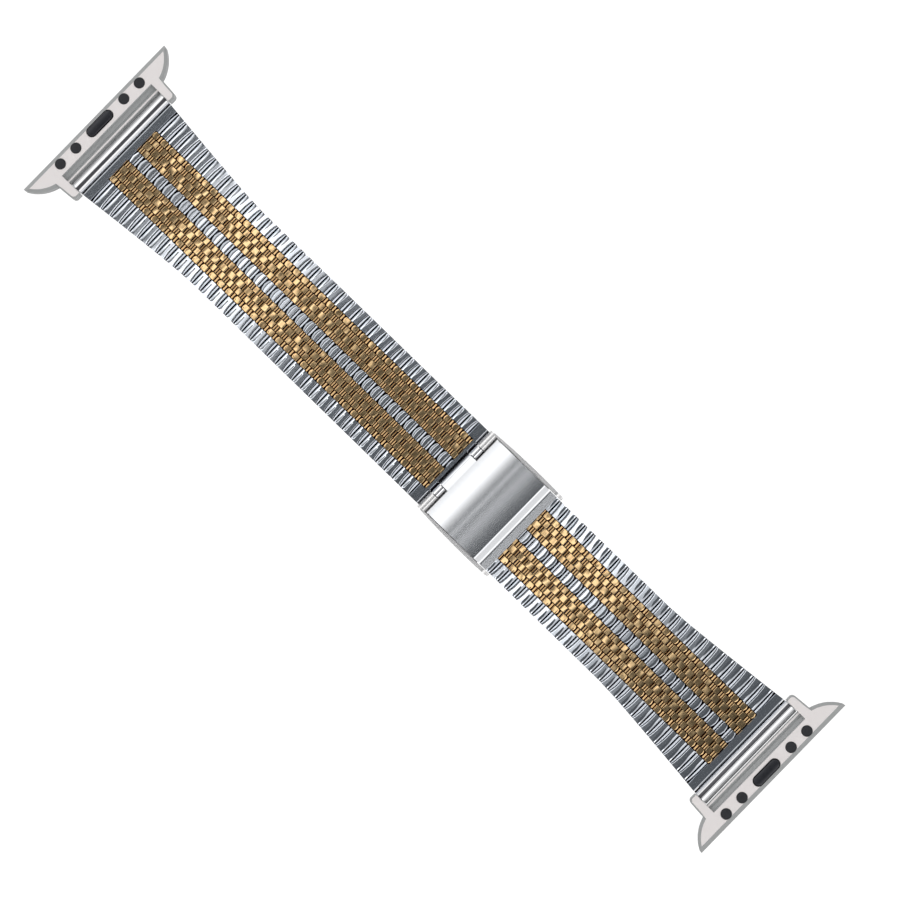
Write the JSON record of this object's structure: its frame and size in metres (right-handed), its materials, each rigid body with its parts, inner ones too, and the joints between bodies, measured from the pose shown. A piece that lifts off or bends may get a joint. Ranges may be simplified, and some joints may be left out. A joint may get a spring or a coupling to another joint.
{
  "type": "metal watch bracelet",
  "caption": "Tapered two-tone metal watch bracelet of hinged beaded links, with a ladder clasp and slide-in adapters that fit the slots of a square watch case.",
  "frame": {"origin": "centre of the bracelet's box in X and Y, on the surface that it lies on", "axes": "+X along the straightened bracelet from the long half's adapter to the short half's, +Z out of the bead side, +Y across the band"},
  "size_m": [0.17, 0.0364, 0.0044],
  "materials": {
    "link_steel": "brushed along the band, with polished bevels on the beads",
    "gold_beads": "polished gold-coloured plating on the bead columns of every link",
    "adapter_steel": "satin, slightly warm grey",
    "polished_steel": "polished",
    "clasp_steel": "polished on the cover, satin on the floor and the slider",
    "lock_steel": "darkened, satin",
    "pad_rubber": "matte moulded rubber",
    "spring_steel": "plain spring wire"
  },
  "bodies": {
    "clasp_base": {"clasp_base": "clasp_steel", "clasp_pin": "polished_steel"},
    "clasp_cover": {"clasp_cover": "clasp_steel"},
    "clasp_link": {"clasp_link": "link_steel"},
    "slider": {"slider": "clasp_steel"},
    "slider_latch": {"slider_latch": "clasp_steel"},
    "link_a_01": {"link_a_01": "link_steel"},
    "link_a_02": {"link_a_02": "link_steel"},
    "link_a_03": {"link_a_03": "link_steel"},
    "link_a_04": {"link_a_04": "link_steel"},
    "link_a_05": {"link_a_05": "link_steel"},
    "link_a_06": {"link_a_06": "link_steel"},
    "link_a_07": {"link_a_07": "link_steel"},
    "link_a_08": {"link_a_08": "link_steel"},
    "link_a_09": {"link_a_09": "link_steel"},
    "link_a_10": {"link_a_10": "link_steel"},
    "link_a_11": {"link_a_11": "link_steel"},
    "link_a_12": {"link_a_12": "link_steel"},
    "link_a_13": {"link_a_13": "link_steel"},
    "link_a_14": {"link_a_14": "link_steel"},
    "link_a_15": {"link_a_15": "link_steel"},
    "link_a_16": {"link_a_16": "link_steel"},
    "link_a_17": {"link_a_17": "link_steel"},
    "link_a_18": {"link_a_18": "link_steel"},
    "end_link_a": {"end_link_a": "link_steel", "end_tube_a": "polished_steel"},
    "adapter_a": {"adapter_a": "adapter_steel", "pads_a": "pad_rubber", "lock_spring_a": "spring_steel", "spring_bar_a": "polished_steel", "bar_spring_a": "spring_steel"},
    "lock_a": {"lock_a": "lock_steel"},
    "bar_tip_left_a": {"bar_tip_left_a": "polished_steel"},
    "bar_tip_right_a": {"bar_tip_right_a": "polished_steel"},
    "link_b_01": {"link_b_01": "link_steel"},
    "link_b_02": {"link_b_02": "link_steel"},
    "link_b_03": {"link_b_03": "link_steel"},
    "link_b_04": {"link_b_04": "link_steel"},
    "link_b_05": {"link_b_05": "link_steel"},
    "link_b_06": {"link_b_06": "link_steel"},
    "link_b_07": {"link_b_07": "link_steel"},
    "link_b_08": {"link_b_08": "link_steel"},
    "link_b_09": {"link_b_09": "link_steel"},
    "link_b_10": {"link_b_10": "link_steel"},
    "link_b_11": {"link_b_11": "link_steel"},
    "link_b_12": {"link_b_12": "link_steel"},
    "end_link_b": {"end_link_b": "link_steel", "end_tube_b": "polished_steel"},
    "adapter_b": {"adapter_b": "adapter_steel", "pads_b": "pad_rubber", "lock_spring_b": "spring_steel", "spring_bar_b": "polished_steel", "bar_spring_b": "spring_steel"},
    "lock_b": {"lock_b": "lock_steel"},
    "bar_tip_left_b": {"bar_tip_left_b": "polished_steel"},
    "bar_tip_right_b": {"bar_tip_right_b": "polished_steel"}
  },
  "joints": [
    {"name": "cover_hinge", "type": "hinge", "parent": "clasp_base", "child": "clasp_cover", "pos_m": [0.00698, 0, 0.00165], "axis": [0, -1, 0], "range_deg": [0, 90]},
    {"name": "clasp_link_hinge", "type": "hinge", "parent": "clasp_base", "child": "clasp_link", "pos_m": [0.00698, 0, 0.00165], "axis": [0, -1, 0], "range_deg": [-5, 15]},
    {"name": "slider_slide", "type": "slide", "parent": "clasp_base", "child": "slider", "axis": [1, 0, 0], "range_m": [-0.0021, 0.0042]},
    {"name": "latch_hinge", "type": "hinge", "parent": "slider", "child": "slider_latch", "pos_m": [0.01837, 0, 0.00175], "axis": [0, -1, 0], "range_deg": [0, 7]},
    {"name": "link_a_01_hinge", "type": "hinge", "parent": "clasp_link", "child": "link_a_01", "pos_m": [0.00363, 0, 0.00165], "axis": [0, -1, 0], "range_deg": [-4, 9]},
    {"name": "link_a_02_hinge", "type": "hinge", "parent": "link_a_01", "child": "link_a_02", "pos_m": [-0.00057, 0, 0.00165], "axis": [0, -1, 0], "range_deg": [-4, 9]},
    {"name": "link_a_03_hinge", "type": "hinge", "parent": "link_a_02", "child": "link_a_03", "pos_m": [-0.00477, 0, 0.00165], "axis": [0, -1, 0], "range_deg": [-4, 9]},
    {"name": "link_a_04_hinge", "type": "hinge", "parent": "link_a_03", "child": "link_a_04", "pos_m": [-0.00898, 0, 0.00165], "axis": [0, -1, 0], "range_deg": [-4, 9]},
    {"name": "link_a_05_hinge", "type": "hinge", "parent": "link_a_04", "child": "link_a_05", "pos_m": [-0.01317, 0, 0.00165], "axis": [0, -1, 0], "range_deg": [-4, 9]},
    {"name": "link_a_06_hinge", "type": "hinge", "parent": "link_a_05", "child": "link_a_06", "pos_m": [-0.01738, 0, 0.00165], "axis": [0, -1, 0], "range_deg": [-4, 9]},
    {"name": "link_a_07_hinge", "type": "hinge", "parent": "link_a_06", "child": "link_a_07", "pos_m": [-0.02158, 0, 0.00165], "axis": [0, -1, 0], "range_deg": [-4, 9]},
    {"name": "link_a_08_hinge", "type": "hinge", "parent": "link_a_07", "child": "link_a_08", "pos_m": [-0.02577, 0, 0.00165], "axis": [0, -1, 0], "range_deg": [-4, 9]},
    {"name": "link_a_09_hinge", "type": "hinge", "parent": "link_a_08", "child": "link_a_09", "pos_m": [-0.02998, 0, 0.00165], "axis": [0, -1, 0], "range_deg": [-4, 9]},
    {"name": "link_a_10_hinge", "type": "hinge", "parent": "link_a_09", "child": "link_a_10", "pos_m": [-0.03417, 0, 0.00165], "axis": [0, -1, 0], "range_deg": [-4, 9]},
    {"name": "link_a_11_hinge", "type": "hinge", "parent": "link_a_10", "child": "link_a_11", "pos_m": [-0.03837, 0, 0.00165], "axis": [0, -1, 0], "range_deg": [-4, 9]},
    {"name": "link_a_12_hinge", "type": "hinge", "parent": "link_a_11", "child": "link_a_12", "pos_m": [-0.04258, 0, 0.00165], "axis": [0, -1, 0], "range_deg": [-4, 9]},
    {"name": "link_a_13_hinge", "type": "hinge", "parent": "link_a_12", "child": "link_a_13", "pos_m": [-0.04677, 0, 0.00165], "axis": [0, -1, 0], "range_deg": [-4, 9]},
    {"name": "link_a_14_hinge", "type": "hinge", "parent": "link_a_13", "child": "link_a_14", "pos_m": [-0.05097, 0, 0.00165], "axis": [0, -1, 0], "range_deg": [-4, 9]},
    {"name": "link_a_15_hinge", "type": "hinge", "parent": "link_a_14", "child": "link_a_15", "pos_m": [-0.05518, 0, 0.00165], "axis": [0, -1, 0], "range_deg": [-4, 9]},
    {"name": "link_a_16_hinge", "type": "hinge", "parent": "link_a_15", "child": "link_a_16", "pos_m": [-0.05937, 0, 0.00165], "axis": [0, -1, 0], "range_deg": [-4, 9]},
    {"name": "link_a_17_hinge", "type": "hinge", "parent": "link_a_16", "child": "link_a_17", "pos_m": [-0.06358, 0, 0.00165], "axis": [0, -1, 0], "range_deg": [-4, 9]},
    {"name": "link_a_18_hinge", "type": "hinge", "parent": "link_a_17", "child": "link_a_18", "pos_m": [-0.06778, 0, 0.00165], "axis": [0, -1, 0], "range_deg": [-4, 9]},
    {"name": "end_link_a_hinge", "type": "hinge", "parent": "link_a_18", "child": "end_link_a", "pos_m": [-0.07197, 0, 0.00165], "axis": [0, -1, 0], "range_deg": [-4, 9]},
    {"name": "adapter_a_swing", "type": "hinge", "parent": "end_link_a", "child": "adapter_a", "pos_m": [-0.07808, 0, 0.00165], "axis": [0, -1, 0], "range_deg": [-45, 75]},
    {"name": "lock_a_press", "type": "slide", "parent": "adapter_a", "child": "lock_a", "axis": [0, 0, -1], "range_m": [0, 0.0005], "stiffness_N_per_m": 800, "springref_m": -0.001, "deforming": ["lock_spring_a"]},
    {"name": "bar_tip_left_a_slide", "type": "slide", "parent": "adapter_a", "child": "bar_tip_left_a", "axis": [0, -1, 0], "range_m": [0, 0.0012], "stiffness_N_per_m": 600, "springref_m": -0.002},
    {"name": "bar_tip_right_a_slide", "type": "slide", "parent": "adapter_a", "child": "bar_tip_right_a", "axis": [0, 1, 0], "range_m": [0, 0.0012], "stiffness_N_per_m": 600, "springref_m": -0.002},
    {"name": "link_b_01_hinge", "type": "hinge", "parent": "slider", "child": "link_b_01", "pos_m": [0.02158, 0, 0.00165], "axis": [0, 1, 0], "range_deg": [-2, 9]},
    {"name": "link_b_02_hinge", "type": "hinge", "parent": "link_b_01", "child": "link_b_02", "pos_m": [0.02577, 0, 0.00165], "axis": [0, 1, 0], "range_deg": [-4, 9]},
    {"name": "link_b_03_hinge", "type": "hinge", "parent": "link_b_02", "child": "link_b_03", "pos_m": [0.02998, 0, 0.00165], "axis": [0, 1, 0], "range_deg": [-4, 9]},
    {"name": "link_b_04_hinge", "type": "hinge", "parent": "link_b_03", "child": "link_b_04", "pos_m": [0.03417, 0, 0.00165], "axis": [0, 1, 0], "range_deg": [-4, 9]},
    {"name": "link_b_05_hinge", "type": "hinge", "parent": "link_b_04", "child": "link_b_05", "pos_m": [0.03837, 0, 0.00165], "axis": [0, 1, 0], "range_deg": [-4, 9]},
    {"name": "link_b_06_hinge", "type": "hinge", "parent": "link_b_05", "child": "link_b_06", "pos_m": [0.04258, 0, 0.00165], "axis": [0, 1, 0], "range_deg": [-4, 9]},
    {"name": "link_b_07_hinge", "type": "hinge", "parent": "link_b_06", "child": "link_b_07", "pos_m": [0.04677, 0, 0.00165], "axis": [0, 1, 0], "range_deg": [-4, 9]},
    {"name": "link_b_08_hinge", "type": "hinge", "parent": "link_b_07", "child": "link_b_08", "pos_m": [0.05097, 0, 0.00165], "axis": [0, 1, 0], "range_deg": [-4, 9]},
    {"name": "link_b_09_hinge", "type": "hinge", "parent": "link_b_08", "child": "link_b_09", "pos_m": [0.05518, 0, 0.00165], "axis": [0, 1, 0], "range_deg": [-4, 9]},
    {"name": "link_b_10_hinge", "type": "hinge", "parent": "link_b_09", "child": "link_b_10", "pos_m": [0.05937, 0, 0.00165], "axis": [0, 1, 0], "range_deg": [-4, 9]},
    {"name": "link_b_11_hinge", "type": "hinge", "parent": "link_b_10", "child": "link_b_11", "pos_m": [0.06358, 0, 0.00165], "axis": [0, 1, 0], "range_deg": [-4, 9]},
    {"name": "link_b_12_hinge", "type": "hinge", "parent": "link_b_11", "child": "link_b_12", "pos_m": [0.06778, 0, 0.00165], "axis": [0, 1, 0], "range_deg": [-4, 9]},
    {"name": "end_link_b_hinge", "type": "hinge", "parent": "link_b_12", "child": "end_link_b", "pos_m": [0.07197, 0, 0.00165], "axis": [0, 1, 0], "range_deg": [-4, 9]},
    {"name": "adapter_b_swing", "type": "hinge", "parent": "end_link_b", "child": "adapter_b", "pos_m": [0.07808, 0, 0.00165], "axis": [0, 1, 0], "range_deg": [-45, 75]},
    {"name": "lock_b_press", "type": "slide", "parent": "adapter_b", "child": "lock_b", "axis": [0, 0, -1], "range_m": [0, 0.0005], "stiffness_N_per_m": 800, "springref_m": -0.001, "deforming": ["lock_spring_b"]},
    {"name": "bar_tip_left_b_slide", "type": "slide", "parent": "adapter_b", "child": "bar_tip_left_b", "axis": [0, -1, 0], "range_m": [0, 0.0012], "stiffness_N_per_m": 600, "springref_m": -0.002},
    {"name": "bar_tip_right_b_slide", "type": "slide", "parent": "adapter_b", "child": "bar_tip_right_b", "axis": [0, 1, 0], "range_m": [0, 0.0012], "stiffness_N_per_m": 600, "springref_m": -0.002}
  ]
}
